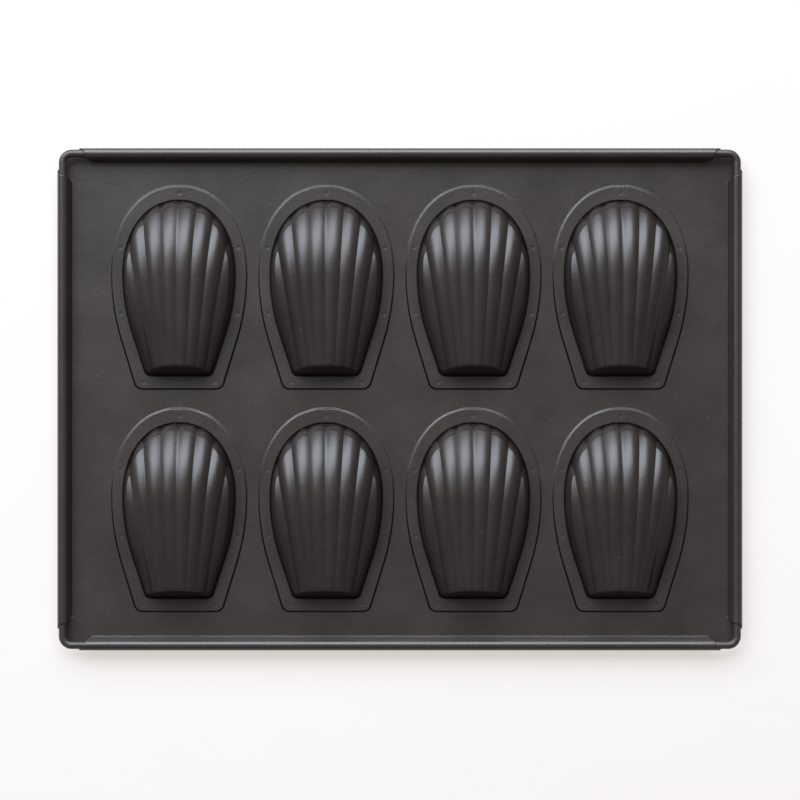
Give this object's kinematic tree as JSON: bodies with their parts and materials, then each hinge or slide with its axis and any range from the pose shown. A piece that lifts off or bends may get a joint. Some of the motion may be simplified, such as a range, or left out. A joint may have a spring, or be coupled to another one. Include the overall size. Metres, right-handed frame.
{
  "type": "madeleine pan",
  "caption": "Rectangular steel baking pan with rows of ribbed shell-shaped cups, a low wall with a rolled edge round a wire, and open corners, lying underside up.",
  "frame": {"origin": "centre of the baking face's level, on which the pan lies underside up", "axes": "+X along the pan's long side, +Y from the hinge ends of the shells to their fan ends, +Z out of the underside"},
  "size_m": [0.3, 0.22, 0.0165],
  "materials": {
    "sheet_coating": "satin non-stick coating",
    "cup_coating": "satin non-stick coating",
    "wire_coating": "satin non-stick coating, pebbly"
  },
  "bodies": {
    "root": {"tray_sheet": "sheet_coating", "edge_wire": "wire_coating", "shell_cup_1": "cup_coating", "shell_cup_2": "cup_coating", "shell_cup_3": "cup_coating", "shell_cup_4": "cup_coating", "shell_cup_5": "cup_coating", "shell_cup_6": "cup_coating", "shell_cup_7": "cup_coating", "shell_cup_8": "cup_coating"}
  },
  "joints": []
}
